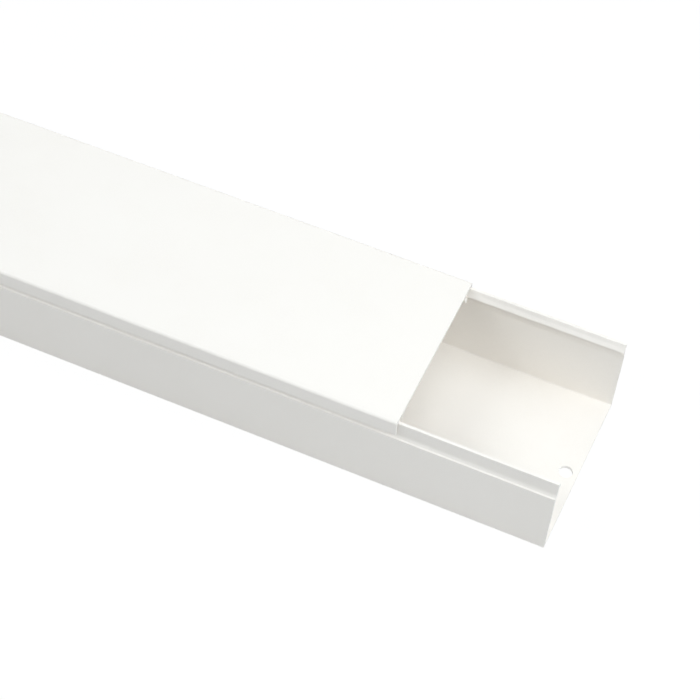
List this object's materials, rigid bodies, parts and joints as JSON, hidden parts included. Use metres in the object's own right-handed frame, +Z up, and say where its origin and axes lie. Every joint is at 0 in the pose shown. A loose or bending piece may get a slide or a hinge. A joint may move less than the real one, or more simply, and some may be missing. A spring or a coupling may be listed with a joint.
{
  "type": "cable trunking length with clip-on lid",
  "caption": "Rigid plastic cable raceway: a channel base with rebated, barbed rims and fixing holes, and a clip-on lid that slides along it to open or close the channel.",
  "frame": {"origin": "centre of the base's underside, on the face that lies on the wall or floor", "axes": "+X along the length, towards the end that the lid leaves open; -Y the front; +Z up, from the base to the lid"},
  "size_m": [2.0935, 0.111, 0.06],
  "materials": {
    "base_plastic": "smooth extruded white rigid PVC with a soft sheen, saw-cut ends",
    "lid_plastic": "white rigid PVC with a faint fine mottle, saw-cut ends"
  },
  "bodies": {
    "base": {"base": "base_plastic"},
    "lid": {"lid": "lid_plastic"}
  },
  "joints": [
    {"name": "lid_slide", "type": "slide", "parent": "base", "child": "lid", "axis": [1, 0, 0], "range_m": [-1.912, 0.0935]}
  ]
}
